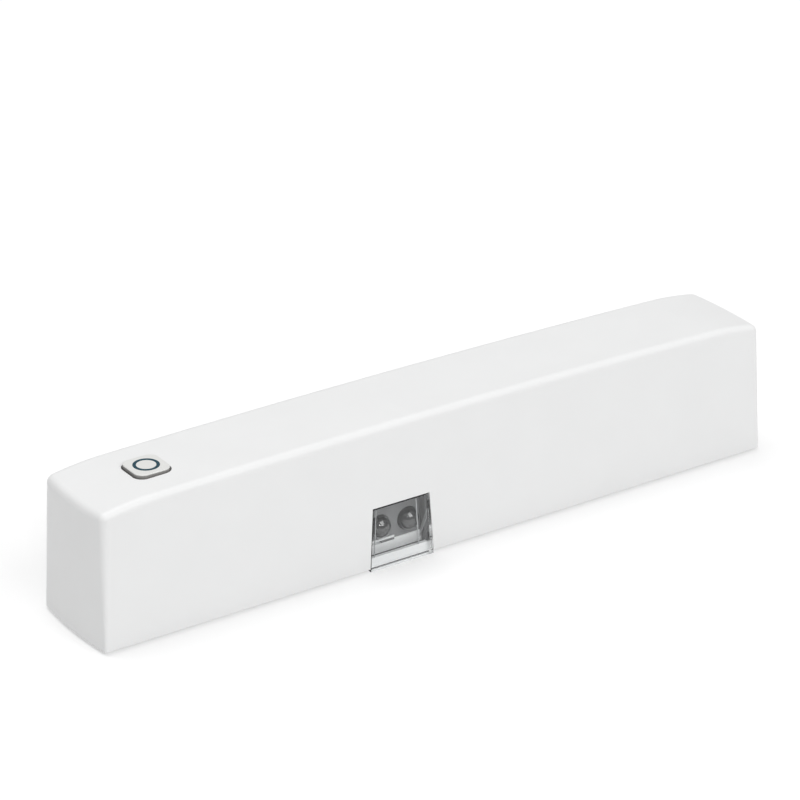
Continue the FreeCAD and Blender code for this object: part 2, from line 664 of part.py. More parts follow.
BESIDE_PACKAGE = (-33.2, -31.4, -27.6, -25.8)
CAPACITOR_X = BESIDE_PACKAGE + (-11.2, -8.0)
RESISTOR_X = BESIDE_PACKAGE + (-37.4, -40.6)


def row_along_x(label, source, positions):
    return repeat(label, source, [FreeCAD.Placement(V(x, 0, 0), FreeCAD.Rotation()) for x in positions])


def small_parts():
    """Ceramic capacitors along the back edge and resistors along the front edge of the board."""
    capacitor = chip("capacitor_model", ("0", "row_y"), ("1", "0.5"), "0.5", radius="0.05")
    resistor = chip("resistor_model", ("0", "-row_y"), ("1", "0.5"), "0.35", radius="0.03")
    return [row_along_x("ceramic_capacitors", capacitor, CAPACITOR_X),
            row_along_x("resistors", resistor, RESISTOR_X)]


def radio():
    """Radio module: its own small board, the chip on it and a thin metal can over the chip."""
    centre = ("can_x", "can_y")
    board = chip("radio_board", ("radio_x", "0"), ("7.8", "10"), "radio_board")
    heart = chip("radio_chip", centre, ("4", "4"), "radio_board + 0.9", "radio_board")
    can = chip("radio_can", centre, ("6", "7.6"), "can_top", "radio_board", "0.3")
    hollow = centred_box("radio_can_hollow", centre, ("6 - 2 * can_wall", "7.6 - 2 * can_wall"),
                         ("board_top", "board_top + can_top - can_wall"))
    return [board, heart, cut("radio_shield", can, hollow)]


def antenna_coil():
    """Spring antenna that stands on one leg on the radio module."""
    left, y, z = "antenna_left", "antenna_y", "antenna_z"
    helix = doc.addObject("Part::Helix", "antenna_path")
    bind(helix, "Pitch", "antenna_pitch")
    bind(helix, "Height", "antenna_length")
    bind(helix, "Radius", "antenna_radius")
    place(helix, (left, y, z), ALONG_X)
    start = f"{z} - antenna_radius"
    section = doc.addObject("Part::Circle", "antenna_section")
    bind(section, "Radius", "antenna_wire")
    place(section, (left, y, start), FreeCAD.Rotation(V(1, 0, 0), -90))
    doc.recompute()
    coil = doc.addObject("Part::Sweep", "antenna_winding")
    coil.Sections = [section]
    coil.Spine = (helix, [f"Edge{i + 1}" for i in range(len(helix.Shape.Edges))])
    coil.Solid = True
    coil.Frenet = True
    leg = cylinder("antenna_leg", (left, y, "board_top + radio_board"), "antenna_wire",
                   f"{start} - board_top - radio_board")
    knee = sphere("antenna_knee", (left, y, start), "antenna_wire")
    return fuse("antenna_coil", coil, leg, knee)


def power_parts():
    """Step-up converter, its coil and the tank capacitor."""
    return [
        chip("boost_inductor", ("inductor_x", "inductor_y"), ("4", "4"), "1.8", radius="0.5"),
        chip("boost_converter", ("power_x", "converter_y"), ("2.9", "1.4"), "1.1", "0.05", "0.1"),
        chip("tank_capacitor", ("power_x", "tank_y"), ("3.5", "2.8"), "1.9", radius="0.15"),
    ]


def crystal():
    return chip("crystal", ("screw_x", "crystal_y"), ("2", "2.5"), "0.6", radius="0.12")


def status_led():
    return chip("status_led", ("button_x", "led_y"), ("1.6", "0.8"), "0.7", radius="0.1")


def board_screw():
    """Pan-head screw with a cross recess."""
    shank = cylinder("screw_shank", ("screw_x", "screw_y", "screw_tip"), "screw_shank_radius",
                     "board_top - screw_tip")
    disc = cylinder("screw_disc", ("screw_x", "screw_y", "board_top"), "screw_head_radius", "screw_head")
    doc.recompute()
    head_top = number("board_top + screw_head")
    head = rounded("screw_head", disc, "0.55", lambda b: b.ZMin > head_top - 0.1)
    arms = (("screw_cross", "screw_head_radius * 1.05"), ("screw_head_radius * 1.05", "screw_cross"))
    sides = [centred_box(f"screw_slot_{i}", ("screw_x", "screw_y"), arm,
                         ("board_top + screw_cross_depth", "board_top + screw_head + 1"))
             for i, arm in enumerate(arms)]
    return cut("board_screw", fuse("screw_blank", shank, head), fuse("screw_slots", *sides))


# ---- button ----

def tact_switch():
    """Push switch: moulded body, metal plate on top and a round plunger."""
    size, centre, seam = ("switch_side", "switch_side"), ("button_x", "0"), "switch_top - switch_plate"
    block = centred_box("switch_block", centre, size, ("board_top", seam))
    well_foot = ("button_x", "0", "well_bottom")
    well = cylinder("switch_well", well_foot, "well_radius", "switch_top - well_bottom")
    body = cut("tact_switch_body", block, well)
    sheet_blank = centred_box("switch_sheet", centre, size, (seam, "switch_top"))
    hole = cylinder("switch_sheet_hole", well_foot, "well_radius", "plunger_top - well_bottom")
    cover = cut("tact_switch_plate", sheet_blank, hole)
    rod = cylinder("plunger_blank", ("button_x", "0", "plunger_bottom"), "plunger_radius",
                   "plunger_top - plunger_bottom")
    top = number("plunger_top")
    plunger = rounded("tact_switch_plunger", rod, "0.2", lambda b: b.ZMin > top - 0.1)
    return [body, cover, plunger]


def button():
    """Tile that shows through the cap, with a flange below the cap and a barbed stem in the bridge."""
    body = new_body("button")
    add_discs(body, "button_stem", [("button_x", "0", "stem_radius")], "plunger_top", "stem_top")
    add_discs(body, "button_barb", [("button_x", "0", "barb_radius")], "plunger_top", "barb_top")
    half = "flange_side / 2"
    add_blocks(body, "button_flange", [((f"button_x - {half}", f"button_x + {half}"), (f"-{half}", half))],
               "flange_bottom", "flange_top")
    add_blocks(body, "button_tile", [(("button_x - tile_length / 2", "button_x + tile_length / 2"),
                                      ("-tile_width / 2", "tile_width / 2"))], "flange_top", "tile_top")
    top, side = number("tile_top"), number("tile_top - flange_top")
    round_edges(body, "tile_corners", "tile_radius", lambda b: upright(b) and b.ZLength > 0.9 * side)
    round_edges(body, "tile_rim", "tile_edge", lambda b: b.ZMin > top - 0.05)
    return body


def button_bridge():
    """Two legs on the board and a plate that guides the button's stem."""
    across = ("-bridge_half", "bridge_half")
    outer = ("button_x - bridge_reach", "button_x + bridge_reach")
    spans = ((outer[0], f"{outer[0]} + bridge_leg"), (f"{outer[1]} - bridge_leg", outer[1]))
    legs = [box(f"bridge_leg_{i}", span, across, ("board_top", "bridge_top")) for i, span in enumerate(spans)]
    plate = box("bridge_plate", outer, across, ("bridge_top - bridge_plate", "bridge_top"))
    hole = cylinder("bridge_hole", ("button_x", "0", "plunger_top"), "bridge_hole_radius",
                    "stem_top - plunger_top")
    return cut("button_bridge", fuse("bridge_blank", plate, *legs), hole)


# ---- tamper switch ----

def tamper_switch():
    """Small switch whose plunger the cap holds down."""
    x, y = "screw_x", "tamper_y"
    block = centred_box("tamper_block", (x, y), ("3.4", "2.6"), ("board_top", "tamper_top"))
    well = cylinder("tamper_well", (x, y, "tamper_well_bottom"), "tamper_well_radius",
                    "tamper_top - board_top")
    body = cut("tamper_switch_body", block, well)
    rod = cylinder("tamper_rod", (x, y, "tamper_rod_bottom"), "tamper_rod_radius",
                   "tamper_rod_top - tamper_rod_bottom")
    top = number("tamper_rod_top")
    return [body, rounded("tamper_plunger", rod, "0.25", lambda b: b.ZMin > top - 0.1)]


# ---- battery ----

def battery():
    """One LR03 cell lying along X with its positive end towards the board."""
    can = cylinder("cell_can", ("cell_left", "0", "cell_z"), "cell_radius", "cell_right - cell_left", ALONG_X)
    cell = rounded("battery_cell", can, "cell_edge", lambda b: b.XLength < 0.01)
    nub = cylinder("cell_nub", ("contact_thickness", "0", "cell_z"), "nub_radius",
                   "cell_left - contact_thickness", ALONG_X)
    terminal = rounded("battery_terminal", nub, "nub_edge", lambda b: b.XMax < 0.5)
    return [cell, terminal]


def battery_contacts():
    """Sheet-metal contacts with tabs that lie on the board."""
    tab_z = ("board_top", "board_top + contact_thickness")
    blade = box("positive_blade", ("0", "contact_thickness"), ("-blade_reach", "blade_reach"),
                ("blade_bottom", tab_z[1]))
    tab = box("positive_tab", ("tab_left", "contact_thickness"), ("-tab_reach", "tab_reach"), tab_z)
    positive = fuse("battery_contact_positive", blade, tab)
    wall_x = "base_length / 2 - base_wall"
    lane, strip_z = ("strip_near", "strip_far"), ("floor - contact_thickness", "floor")
    end = (f"{wall_x} - contact_thickness", wall_x)
    riser_right = "riser_left + contact_thickness"
    pieces = [
        box("negative_plate", end, ("-plate_reach", "plate_reach"), ("floor", "end_wall_top")),
        box("negative_gusset", end, lane, (strip_z[0], "gusset_top")),
        box("negative_strip", ("riser_left", wall_x), lane, strip_z),
        box("negative_riser", ("riser_left", riser_right), lane, (strip_z[0], tab_z[1])),
        box("negative_tab", ("tab_left", riser_right), lane, tab_z),
    ]
    return [positive, fuse("battery_contact_negative", *pieces)]


def battery_spring():
    """Conical coil between the cell and the negative plate, drawn as the cell compresses it."""
    wire, turns, small, large = 0.25, 2.5, 2.0, 3.3
    start = number("cell_right") + wire
    length = number("base_length / 2 - base_wall - contact_thickness") - wire - start
    helix = doc.addObject("Part::Helix", "spring_path")
    helix.Pitch = length / turns
    helix.Height = length
    helix.Radius = small
    helix.Angle = math.degrees(math.atan((large - small) / length))
    place(helix, (str(start), "0", "cell_z"), ALONG_X)
    section = doc.addObject("Part::Circle", "spring_section")
    section.Radius = wire
    place(section, (str(start), "0", f"cell_z - {small}"), FreeCAD.Rotation(V(1, 0, 0), -90))
    doc.recompute()
    coil = doc.addObject("Part::Sweep", "battery_spring")
    coil.Sections = [section]
    coil.Spine = (helix, [f"Edge{i + 1}" for i in range(len(helix.Shape.Edges))])
    coil.Solid = True
    coil.Frenet = True
    return coil


def subparts():
    """Every node of the assembly."""
    return [
        cap(), base_housing(), sensor_window(), sensor_holder(),
        lamp("ir_emitter", "emitter_x"), lamp("ir_receiver", "receiver_x"), sensor_leads(),
        main_board(), microcontroller(), microcontroller_leads(), *small_parts(), *radio(), antenna_coil(),
        *power_parts(), crystal(), status_led(), board_screw(), *tact_switch(), button(), button_bridge(),
        *tamper_switch(), *battery(), *battery_contacts(), battery_spring(),
    ]


def check(nodes):
    """Stops on any failed object or bad shape."""
    for item in doc.Objects:
        if "Invalid" in item.State or "Error" in item.State:
            raise RuntimeError(f"{item.Label} failed: {item.State}")
    for item in nodes:
        if item.Shape.isNull() or not item.Shape.isValid() or not item.Shape.Solids:
            raise RuntimeError(f"{item.Label} has no valid solid")


def export(nodes):
    os.makedirs("parts", exist_ok=True)
    for item in nodes:
        item.Shape.exportStep(f"parts/{item.Label}.step")
        print(f"{item.Label}: {len(item.Shape.Solids)} solid(s), {item.Shape.Volume:.2f} mm3")


nodes = subparts()
doc.recompute()
check(nodes)
export(nodes)
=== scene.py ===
"""Looks of an optical door contact: materials, printed marks and electronics detail."""
import json
import math

import bmesh
import bpy
from mathutils import Matrix, Vector


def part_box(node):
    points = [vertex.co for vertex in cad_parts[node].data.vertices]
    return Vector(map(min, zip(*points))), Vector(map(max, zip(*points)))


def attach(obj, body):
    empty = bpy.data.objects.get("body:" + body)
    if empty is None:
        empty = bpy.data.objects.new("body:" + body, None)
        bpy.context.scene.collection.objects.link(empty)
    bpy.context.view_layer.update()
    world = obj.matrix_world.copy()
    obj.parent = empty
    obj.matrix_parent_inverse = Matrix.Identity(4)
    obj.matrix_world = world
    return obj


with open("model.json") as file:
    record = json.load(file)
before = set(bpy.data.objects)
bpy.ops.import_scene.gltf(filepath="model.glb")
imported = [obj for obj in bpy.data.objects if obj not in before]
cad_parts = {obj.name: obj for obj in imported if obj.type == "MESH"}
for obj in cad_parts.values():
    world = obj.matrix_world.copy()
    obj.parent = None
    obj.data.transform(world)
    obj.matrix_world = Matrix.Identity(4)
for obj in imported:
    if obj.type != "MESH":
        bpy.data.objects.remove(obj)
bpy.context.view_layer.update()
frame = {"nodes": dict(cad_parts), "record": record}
nodes = frame["nodes"]

MM = 0.001
OPAQUE = 1.0


# ---- materials ----

DRIFT_MM, DRIFT_DETAIL = 7.0, 2.0    # patches in which a plastic's tone drifts
GRAIN_DETAIL = 4.0
GLOSS_PATCH_MM = 1.6                 # patches in which a plastic's gloss drifts
TARNISH_MM = 1.4
NOISE_RANGE = (0.3, 0.7)             # the part of a noise's range that roughness follows
TONE_RANGE = (0.35, 0.65)            # the part of it over which two colours blend
TARNISH_SHADE = 0.82
LAMINATE_EDGE = (0.42, 0.38, 0.2)
# painted shade: the grey below the button's white top stands in for the shadow in the gap round it
GAP_SHADE_GREY = (0.25, 0.243, 0.235)
TILE_CAP_MM = 0.13                   # depth of the white at the top of the button


def shader(name, color, roughness, **sockets):
    """A Principled material with plain values on its sockets."""
    material = bpy.data.materials.new(name)
    material.use_nodes = True
    bsdf = material.node_tree.nodes["Principled BSDF"]
    bsdf.inputs["Base Color"].default_value = (*color, OPAQUE)
    bsdf.inputs["Roughness"].default_value = roughness
    for socket, value in sockets.items():
        bsdf.inputs[socket.replace("_", " ")].default_value = value
    return material


def node(material, kind, **settings):
    """A new shader node. Each setting is the value of a socket or of a property."""
    item = material.node_tree.nodes.new(kind)
    for name, value in settings.items():
        if name in item.inputs:
            item.inputs[name].default_value = value
        else:
            setattr(item, name, value)
    return item


def link(material, start, end):
    """A wire from an output socket to an input socket."""
    material.node_tree.links.new(start, end)


def surface(material):
    """The material's Principled shader."""
    return material.node_tree.nodes["Principled BSDF"]


def place_coordinates(material):
    """Object coordinates, which are metres in the part's frame."""
    return node(material, "ShaderNodeTexCoord").outputs["Object"]


def noise(material, size_mm, detail=3.0):
    """A noise whose features are about size_mm across."""
    item = node(material, "ShaderNodeTexNoise", Scale=1.0 / (size_mm * MM), Detail=detail)
    link(material, place_coordinates(material), item.inputs["Vector"])
    return item.outputs["Fac"]


def add_bump(material, height, distance_mm):
    """Adds a bump to whatever bump the surface has already."""
    bump = node(material, "ShaderNodeBump", Strength=1.0, Distance=distance_mm * MM)
    link(material, height, bump.inputs["Height"])
    socket = surface(material).inputs["Normal"]
    if socket.is_linked:
        link(material, socket.links[0].from_socket, bump.inputs["Normal"])
    link(material, bump.outputs["Normal"], socket)


def vary_roughness(material, fac, low, high):
    """Spreads the surface's roughness between two values by a 0 to 1 value."""
    ramp = node(material, "ShaderNodeMapRange")
    limits = zip(("From Min", "From Max", "To Min", "To Max"), (*NOISE_RANGE, low, high))
    for name, value in limits:
        ramp.inputs[name].default_value = value
    link(material, fac, ramp.inputs["Value"])
    link(material, ramp.outputs["Result"], surface(material).inputs["Roughness"])


def blend_colors(material, fac, first, second):
    """Colours the surface between two colours by a 0 to 1 value."""
    ramp = node(material, "ShaderNodeValToRGB")
    for stop, position, color in zip(ramp.color_ramp.elements, TONE_RANGE, (first, second)):
        stop.position = position
        stop.color = (*color, OPAQUE)
    link(material, fac, ramp.inputs["Fac"])
    link(material, ramp.outputs["Color"], surface(material).inputs["Base Color"])


def moulded(name, color, roughness, grain_mm=0.09, depth_mm=0.004, shift=0.03, **sockets):
    """Injection-moulded plastic: a fine spark-eroded grain and a faint drift of tone."""
    material = shader(name, color, roughness, **sockets)
    darker = tuple(c * (1 - shift) for c in color)
    blend_colors(material, noise(material, DRIFT_MM, DRIFT_DETAIL), darker, color)
    add_bump(material, noise(material, grain_mm, GRAIN_DETAIL), depth_mm)
    vary_roughness(material, noise(material, GLOSS_PATCH_MM), roughness - 0.04, roughness + 0.05)
    return material


def metal(name, color, roughness, streak_mm=(0.6, 0.05, 0.05), depth_mm=0.003):
    """Sheet or wire metal with fine drawn streaks and patches of tarnish."""
    material = shader(name, color, roughness, Metallic=1.0)
    stretch = node(material, "ShaderNodeMapping")
    stretch.inputs["Scale"].default_value = [1.0 / (s * MM) for s in streak_mm]
    link(material, place_coordinates(material), stretch.inputs["Vector"])
    streaks = node(material, "ShaderNodeTexNoise", Scale=1.0, Detail=3.0)
    link(material, stretch.outputs["Vector"], streaks.inputs["Vector"])
    add_bump(material, streaks.outputs["Fac"], depth_mm)
    vary_roughness(material, streaks.outputs["Fac"], roughness - 0.07, roughness + 0.1)
    tarnished = tuple(TARNISH_SHADE * c for c in color)
    blend_colors(material, noise(material, TARNISH_MM), tarnished, color)
    return material


def height_of(material, vector):
    """The Z value of a vector socket."""
    split = node(material, "ShaderNodeSeparateXYZ")
    link(material, vector, split.inputs["Vector"])
    return split.outputs["Z"]


def paint_below(material, value, limit, color):
    """Paints the surface where a value is at or below a limit, and leaves its own colour elsewhere."""
    own = surface(material).inputs["Base Color"].links[0].from_socket
    above = node(material, "ShaderNodeMath", operation="GREATER_THAN")
    link(material, value, above.inputs[0])
    above.inputs[1].default_value = limit
    mix = node(material, "ShaderNodeMix", data_type="RGBA")
    link(material, above.outputs["Value"], mix.inputs["Factor"])
    mix.inputs["A"].default_value = (*color, OPAQUE)
    link(material, own, mix.inputs["B"])
    link(material, mix.outputs["Result"], surface(material).inputs["Base Color"])


def laminate(name, mask_color):
    """Circuit board: solder mask on the faces, bare glass-fibre laminate on the cut edges."""
    material = moulded(name, mask_color, 0.3, grain_mm=0.5, shift=0.2, Coat_Weight=0.4)
    normal = node(material, "ShaderNodeNewGeometry").outputs["Normal"]
    level = node(material, "ShaderNodeMath", operation="ABSOLUTE")
    link(material, height_of(material, normal), level.inputs[0])
    paint_below(material, level.outputs["Value"], 0.5, LAMINATE_EDGE)
    return material


def button_with_painted_gap_shade():
    """White tile with painted shade: below a line just under the tile's top the colour is grey, which
    stands in for the shadow in the gap round the button.
    """
    material = moulded("button_white", (0.69, 0.692, 0.676), 0.36, shift=0.012)
    shade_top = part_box("button")[1].z - TILE_CAP_MM * MM
    # paints grey shade on the button below its white top
    paint_below(material, height_of(material, place_coordinates(material)), shade_top, GAP_SHADE_GREY)
    return material


def clear_plastic():
    """Polished clear pane with a trace of moulding flow. Light from the lamps passes it unbent."""
    material = shader("pane_clear", (0.985, 0.99, 0.99), 0.02, Transmission_Weight=1.0, IOR=1.38)
    add_bump(material, noise(material, size_mm=4.0, detail=1.0), distance_mm=0.004)
    rays = node(material, "ShaderNodeLightPath")
    either = node(material, "ShaderNodeMath", operation="MAXIMUM")
    for i, kind in enumerate(("Is Shadow Ray", "Is Diffuse Ray")):
        link(material, rays.outputs[kind], either.inputs[i])
    unbent = node(material, "ShaderNodeBsdfTransparent", Color=(0.965, 0.97, 0.97, OPAQUE))
    mix = node(material, "ShaderNodeMixShader")
    link(material, either.outputs["Value"], mix.inputs["Fac"])
    link(material, surface(material).outputs["BSDF"], mix.inputs[1])
    link(material, unbent.outputs["BSDF"], mix.inputs[2])
    output = material.node_tree.nodes["Material Output"]
    link(material, mix.outputs["Shader"], output.inputs["Surface"])
    return material


MATERIALS = {
    "cap_white": moulded("cap_white", (0.765, 0.768, 0.768), 0.4, shift=0.012, Specular_IOR_Level=0.4),
    "base_white": moulded("base_white", (0.87, 0.875, 0.88), 0.45),
    "button_white": button_with_painted_gap_shade(),
    "pane_clear": clear_plastic(),
    "baffle_grey": moulded("baffle_grey", (0.2, 0.203, 0.208), 0.42, grain_mm=0.12, depth_mm=0.008),
    "lamp_dark": moulded("lamp_dark", (0.018, 0.019, 0.021), 0.12, grain_mm=0.5, depth_mm=0.001,
                         Coat_Weight=1.0, Coat_Roughness=0.08, Coat_IOR=1.65),
    "tinned": metal("tinned", (0.75, 0.75, 0.73), 0.3),
    "contact_nickel": metal("contact_nickel", (0.72, 0.69, 0.63), 0.28),
    "board_green": laminate("board_green", (0.012, 0.14, 0.05)),
    "radio_board_blue": laminate("radio_board_blue", (0.01, 0.05, 0.2)),
    "chip_black": moulded("chip_black", (0.02, 0.02, 0.021), 0.55,
                          grain_mm=0.06, depth_mm=0.006, shift=0.2),
    "shield_tin": metal("shield_tin", (0.78, 0.78, 0.77), 0.26, (3.0, 0.08, 0.08)),
    "crystal_can": metal("crystal_can", (0.8, 0.77, 0.68), 0.2),
    "coil_copper": metal("coil_copper", (0.83, 0.42, 0.2), 0.25),
    "ferrite": moulded("ferrite", (0.045, 0.045, 0.048), 0.6, grain_mm=0.1, depth_mm=0.012, shift=0.3),
    "tantalum": moulded("tantalum", (0.6, 0.36, 0.04), 0.42, grain_mm=0.08, shift=0.08),
    "ceramic_tan": moulded("ceramic_tan", (0.45, 0.3, 0.17), 0.4, shift=0.1),
    "resistor_black": moulded("resistor_black", (0.018, 0.018, 0.02), 0.3, shift=0.2),
    "led_white": moulded("led_white", (0.82, 0.8, 0.6), 0.2, shift=0.05, Coat_Weight=0.8),
    "switch_black": moulded("switch_black", (0.02, 0.02, 0.021), 0.45, shift=0.15),
    "plunger_plastic": moulded("plunger_plastic", (0.03, 0.03, 0.032), 0.4, shift=0.15),
    "screw_zinc": metal("screw_zinc", (0.7, 0.71, 0.74), 0.3, (0.1, 0.1, 0.6)),
    "cell_sleeve": moulded("cell_sleeve", (0.02, 0.07, 0.16), 0.22, grain_mm=1.0, Coat_Weight=0.5),
    "cell_steel": metal("cell_steel", (0.78, 0.76, 0.73), 0.2),
    "print_ink": moulded("print_ink", (0.004, 0.045, 0.07), 0.4, grain_mm=0.05, shift=0.1),
    "mask_copper": moulded("mask_copper", (0.025, 0.24, 0.09), 0.26,
                           grain_mm=0.4, shift=0.15, Coat_Weight=0.5),
    "blue_copper": moulded("blue_copper", (0.02, 0.1, 0.33), 0.28, grain_mm=0.4, shift=0.15),
    "print_white": moulded("print_white", (0.75, 0.76, 0.74), 0.6, grain_mm=0.05, shift=0.08),
    "solder": metal("solder", (0.82, 0.82, 0.81), 0.16, (0.3, 0.3, 0.3), 0.006),
    "gold": metal("gold", (0.9, 0.68, 0.3), 0.24, (0.2, 0.2, 0.2)),
    "polished_black": moulded("polished_black", (0.012, 0.012, 0.013), 0.2, grain_mm=0.2, shift=0.2),
    "resin": moulded("resin", (0.11, 0.105, 0.1), 0.35, grain_mm=0.12, depth_mm=0.01, shift=0.25),
    "brown_print": moulded("brown_print", (0.16, 0.06, 0.008), 0.4, shift=0.1),
    "phosphor": moulded("phosphor", (0.85, 0.62, 0.06), 0.3, shift=0.1, Coat_Weight=0.6),
    "sleeve_gold": metal("sleeve_gold", (0.83, 0.62, 0.33), 0.3, (2.0, 0.2, 0.2)),
    "sleeve_ink": moulded("sleeve_ink", (0.01, 0.03, 0.08), 0.3, grain_mm=0.3, shift=0.1),
    # painted shade: a dark material for strips that stand in for shade inside the window
    "painted_shade_black": moulded("painted_shade_black", (0.09, 0.091, 0.093), 0.85,
                          grain_mm=0.15, depth_mm=0.02, shift=0.2),
    # painted light: a pale material for pieces that stand in for highlight lines and a streak of light
    "painted_highlight_grey": moulded("painted_highlight_grey", (0.43, 0.44, 0.45), 0.3, grain_mm=0.2, shift=0.1),
}


def paint_frame():
    """Gives every CAD node the finish of its material slot."""
    for part in frame["record"]["subparts"]:
        mesh = nodes[part["node"]].data
        mesh.materials.clear()
        mesh.materials.append(MATERIALS[part["material_slot"]])


paint_frame()


# ---- pieces ----

def piece(name, bm, finish, body):
    """A finished mesh that rides on a CAD body and takes its finish from the table of materials."""
    bmesh.ops.recalc_face_normals(bm, faces=bm.faces)
    mesh = bpy.data.meshes.new(name)
    bm.to_mesh(mesh)
    bm.free()
    mesh.materials.append(MATERIALS[finish])
    item = bpy.data.objects.new(name, mesh)
    bpy.context.scene.collection.objects.link(item)
    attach(item, body)


# ---- places ----

def span(name):
    """A node's lowest and highest corners at rest, in millimetres."""
    low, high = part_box(name)
    return low / MM, high / MM


def middle(name):
    """The middle of a node's box, in millimetres."""
    low, high = span(name)
    return (low + high) / 2


def around(centre, half):
    """The stretch that reaches as far to each side of a centre."""
    return centre - half, centre + half


def ends(low, high, out, inward):
    """The two stretches at the ends of a length, from out beyond each end to inward of it."""
    return (low - out, low + inward), (high - inward, high + out)


def outset(low, high, gap):
    """The stretches along X and Y of a box that is grown by a gap on all sides."""
    return (low.x - gap, high.x + gap), (low.y - gap, high.y + gap)


def reachable(start):
    """A vertex and all those that edges join to it."""
    found, waiting = {start}, [start]
    while waiting:
        vert = waiting.pop()
        for edge in vert.link_edges:
            other = edge.other_vert(vert)
            if other not in found:
                found.add(other)
                waiting.append(other)
    return found


def islands(name):
    """The boxes, in millimetres, of the separate solids in a node."""
    bm = bmesh.new()
    bm.from_mesh(nodes[name].data)
    bmesh.ops.remove_doubles(bm, verts=bm.verts, dist=1e-7)
    seen, boxes = set(), []
    for start in bm.verts:
        if start in seen:
            continue
        members = reachable(start)
        seen |= members
        places = [vert.co / MM for vert in members]
        boxes.append(tuple(Vector([pick(place[i] for place in places) for i in range(3)])
                           for pick in (min, max)))
    bm.free()
    return boxes


# ---- shapes ----

TURNED_SIDES = 24


def vertex(bm, place):
    """A vertex at a place in millimetres."""
    return bm.verts.new(place * MM)


def circle(bm, at, radius, height, sides):
    """A level circle of vertices around an upright axis. A circle of no radius is a single vertex."""
    turns = (2 * math.pi * i / sides for i in range(sides if radius else 1))
    offsets = (Vector((radius * math.cos(a), radius * math.sin(a), height)) for a in turns)
    return [vertex(bm, Vector(at) + offset) for offset in offsets]


def skin(bm, loops, closed=False):
    """Faces from each loop of vertices to the next, which are triangles where a loop is one vertex."""
    for first, second in zip(loops, loops[1:] + loops[:1] if closed else loops[1:]):
        sides = max(len(first), len(second))
        for i in range(sides):
            j = (i + 1) % sides
            face = (first[i % len(first)], first[j % len(first)],
                    second[j % len(second)], second[i % len(second)])
            bm.faces.new(list(dict.fromkeys(face)))


def strip(bm, sections, closed=False):
    """A solid strip through a row of sections. It meets its own start where it is closed."""
    skin(bm, sections, closed)
    if not closed:
        bm.faces.new(sections[0])
        bm.faces.new(list(reversed(sections[-1])))


def block(bm, x, y, z, ease):
    """A block between three pairs of millimetre values, with its edges eased."""
    made = bmesh.ops.create_cube(bm, size=1.0)["verts"]
    for vert in made:
        sides = zip((x, y, z), vert.co)
        vert.co = Vector([(low + high) / 2 + side * (high - low) for (low, high), side in sides]) * MM
    edges = list(dict.fromkeys(edge for vert in made for edge in vert.link_edges))
    bmesh.ops.bevel(bm, geom=edges, offset=ease * MM, segments=2, profile=0.5, affect="EDGES")


def lathe(bm, at, profile):
    """A solid of revolution about Z. The profile's (radius, height) pairs start and end on the axis."""
    skin(bm, [circle(bm, at, radius, height, TURNED_SIDES) for radius, height in profile])


def disc(bm, at, radius, height):
    """A low disc with an eased rim."""
    ease = min(0.4 * height, 0.1 * radius)
    lathe(bm, at, [(0, 0), (radius, 0), (radius, height - ease), (radius - ease, height), (0, height)])


def ring(bm, at, inner, outer, height, sides=48):
    """A flat ring whose upper edges are chamfered by its height."""
    profile = [(inner, 0), (inner + height, height), (outer - height, height), (outer, 0)]
    skin(bm, [circle(bm, at, radius, z, sides) for radius, z in profile], closed=True)


def ribbon(bm, points, width, low, high, closed=False):
    """A flat strip of constant width along a path in plan, with mitred corners."""
    path = [Vector(point) for point in points]
    sections = []
    for i, point in enumerate(path):
        before = path[i - 1] if closed or i > 0 else None
        after = path[(i + 1) % len(path)] if closed or i < len(path) - 1 else None
        steps = [(end - start).normalized() for start, end in ((before, point), (point, after))
                 if start is not None and end is not None]
        normals = [Vector((-step.y, step.x)) for step in steps]
        mitre = sum(normals, Vector((0, 0))).normalized()
        offset = mitre * (width / 2 / max(0.4, mitre.dot(normals[0])))
        left, right = point + offset, point - offset
        outline = ((left, low), (right, low), (right, high), (left, high))
        sections.append([vertex(bm, Vector((*side, z))) for side, z in outline])
    strip(bm, sections, closed)


def frame_line(bm, x, y, width, low, high):
    """A rectangular outline."""
    corners = [(x[0], y[0]), (x[1], y[0]), (x[1], y[1]), (x[0], y[1])]
    ribbon(bm, corners, width, low, high, closed=True)


def tube_patch(bm, x, angles, radii, centre, steps):
    """A curved plate on a round part that lies along X: two X values, two angles and two radii."""
    full = angles[1] - angles[0] >= 360
    outline = ((x[0], radii[0]), (x[1], radii[0]), (x[1], radii[1]), (x[0], radii[1]))
    sections = []
    for i in range(steps if full else steps + 1):
        a = math.radians(angles[0] + (angles[1] - angles[0]) * i / steps)
        places = (Vector((along, centre[0] + radius * math.sin(a), centre[1] + radius * math.cos(a)))
                  for along, radius in outline)
        sections.append([vertex(bm, place) for place in places])
    strip(bm, sections, closed=full)


def bar(bm, start, end, width, depth):
    """A slender bar between two points of one X-Z plane: width within that plane, depth along Y."""
    start, end = Vector(start), Vector(end)
    run = (end - start).normalized()
    side = run.cross(Vector((0, 1, 0))).normalized()
    back = side.cross(run)
    signs = ((-1, -1), (1, -1), (1, 1), (-1, 1))
    offsets = [side * (i * width / 2) + back * (j * depth / 2) for i, j in signs]
    strip(bm, [[vertex(bm, point + offset) for offset in offsets] for point in (start, end)])


# ---- button print ----

def button_print():
    """A plain petrol-blue ring printed on the button's tile."""
    mid, high = middle("button"), span("button")[1]
    bm = bmesh.new()
    ring(bm, (mid.x, mid.y, high.z - 0.002), 1.2, 1.64, 0.02, 72)
    piece("button_print", bm, "print_ink", "button")


# ---- sensor window detail ----

WINDOW_X = middle("sensor_window").x
LIP_FRONT = -6.35                    # Y of the front of the base's lip, behind the pane's foot
SHADE_LINE_Y, SHADE_LINE_Z = -5.85, 1.43         # the painted shade line on top of the lip, near its back edge
# place of a grey strip of painted shade in the sill's slit
SHADE_STRIP_Y, SHADE_STRIP_Z = (-4.84, -4.3), (2.12, 2.43)
HIGHLIGHT_Y = -6.3                         # just behind the pane
HIGHLIGHT_FOOT, HIGHLIGHT_TOP = 1.39, 7.75       # the pale bars stand on the lip
